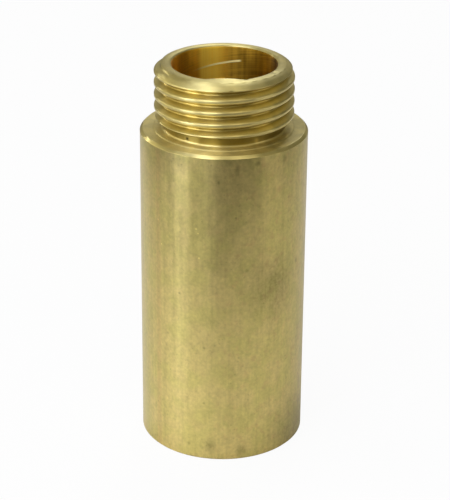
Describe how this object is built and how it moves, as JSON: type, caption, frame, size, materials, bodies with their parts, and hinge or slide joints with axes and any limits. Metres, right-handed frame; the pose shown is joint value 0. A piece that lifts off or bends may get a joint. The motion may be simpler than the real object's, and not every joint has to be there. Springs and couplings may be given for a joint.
{
  "type": "pipe extension",
  "caption": "Turned brass pipe extension: a plain round body with a threaded socket in its base and a threaded male end above a neck.",
  "frame": {"origin": "centre of the base, on the axis, at the socket's mouth", "axes": "+Z along the bore from the base towards the male thread; the part is round, so +X and +Y are only where the threads start"},
  "size_m": [0.025, 0.025, 0.06],
  "materials": {
    "brass": "turned brass, satin and slightly stained, brighter on the thread and the rim"
  },
  "bodies": {
    "root": {"extension_body": "brass"}
  },
  "joints": []
}
